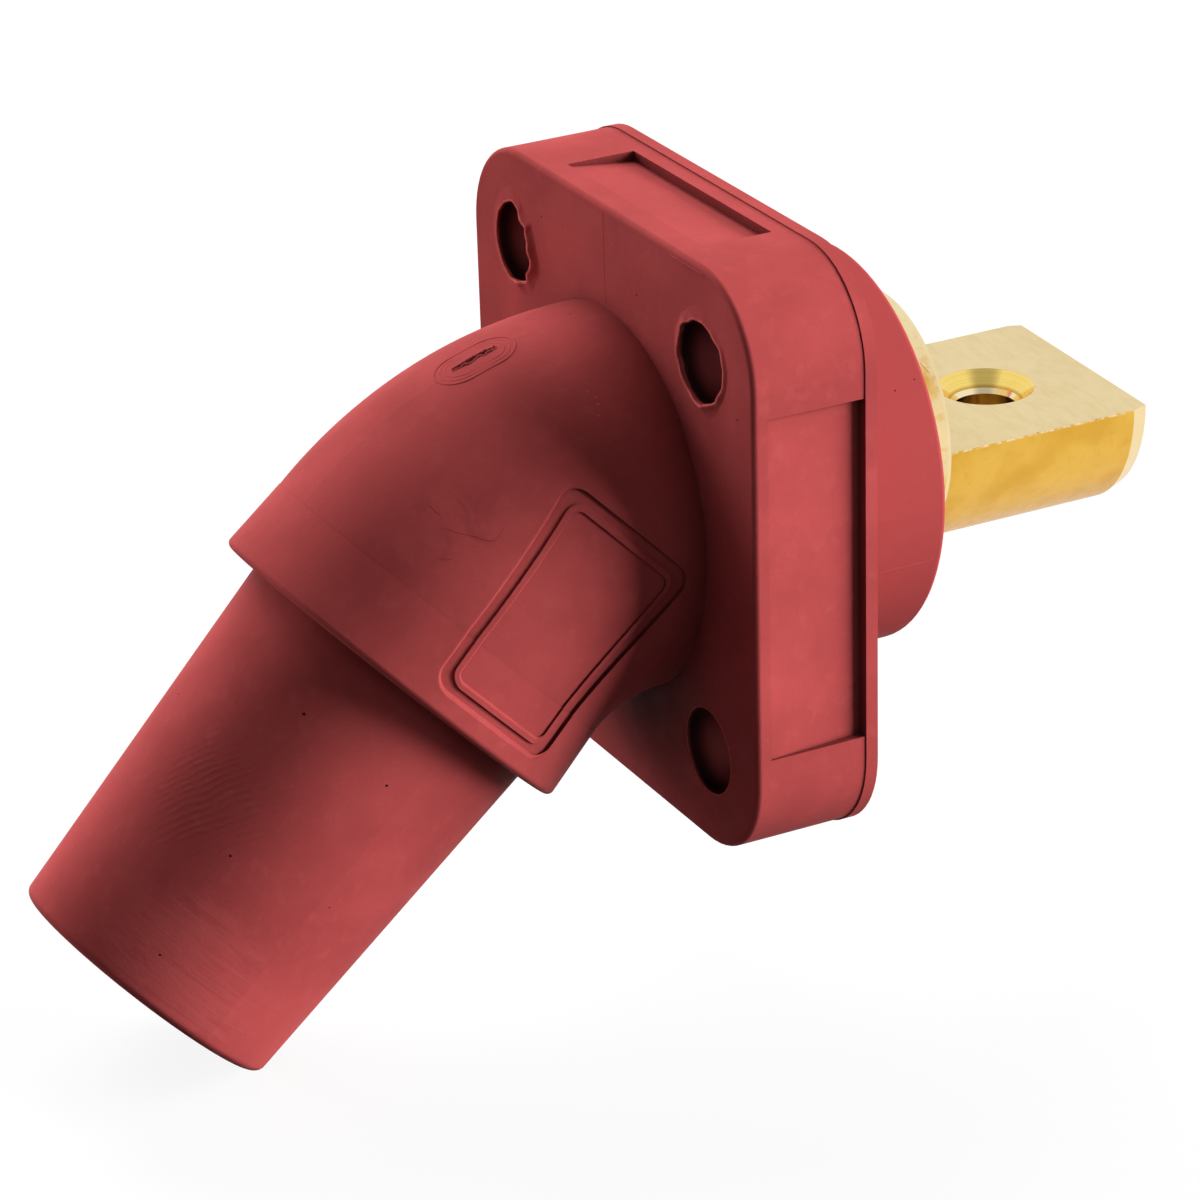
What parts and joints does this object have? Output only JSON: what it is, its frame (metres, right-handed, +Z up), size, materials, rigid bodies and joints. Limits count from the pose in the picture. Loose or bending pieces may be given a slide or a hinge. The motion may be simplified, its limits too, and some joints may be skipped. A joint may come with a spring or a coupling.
{
  "type": "single pole cam lock connector",
  "caption": "Angled panel receptacle for a single pole power cable: moulded flange, elbow and tapered nose, brass cam socket inside, and a half-round bus bar tail behind.",
  "frame": {"origin": "centre of the flange's panel face and of its four screw holes", "axes": "+Y goes through the panel, +Z is up, and the nose points forward and down, towards -Y and -Z"},
  "size_m": [0.0636, 0.1297, 0.0879],
  "materials": {
    "elastomer": "matte moulded",
    "brass": "turned, satin"
  },
  "bodies": {
    "root": {"housing": "elastomer", "contact_socket": "brass", "busbar_terminal": "brass"}
  },
  "joints": []
}
